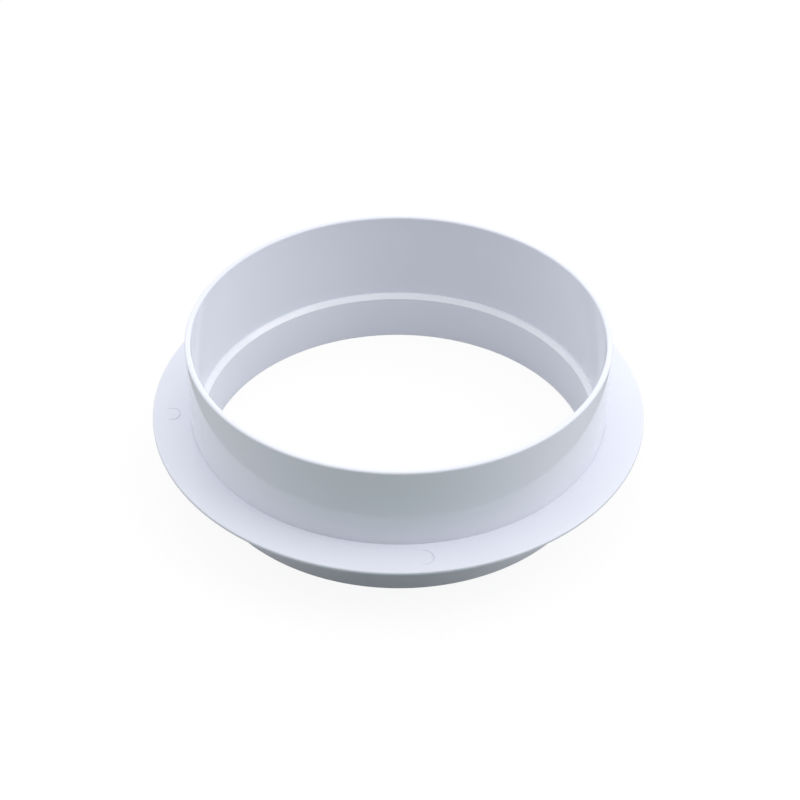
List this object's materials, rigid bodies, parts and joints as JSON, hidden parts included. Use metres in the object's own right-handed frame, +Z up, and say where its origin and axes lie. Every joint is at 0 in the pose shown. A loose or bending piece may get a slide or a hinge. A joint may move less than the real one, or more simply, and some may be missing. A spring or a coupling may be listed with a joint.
{
  "type": "flanged pipe collar",
  "caption": "White plastic pipe collar with a plain flat flange: a thin socket above it stops a drain pipe on an inner ledge, and a short spigot below goes into the floor.",
  "frame": {"origin": "on the collar's axis, in the plane of the spigot's lower end, on which the part stands", "axes": "+Z up along the axis of the bore, from the spigot towards the socket's rim; X and Y lie in the flange's plane and are alike"},
  "size_m": [0.1948, 0.1948, 0.0597],
  "materials": {
    "sleeve_plastic": "glossy cool white moulded plastic",
    "flange_plastic": "glossy cool white moulded plastic",
    "stub_plastic": "glossy cool white moulded plastic"
  },
  "bodies": {
    "root": {"socket_sleeve": "sleeve_plastic", "flange_ring": "flange_plastic", "pipe_stub": "stub_plastic"}
  },
  "joints": []
}
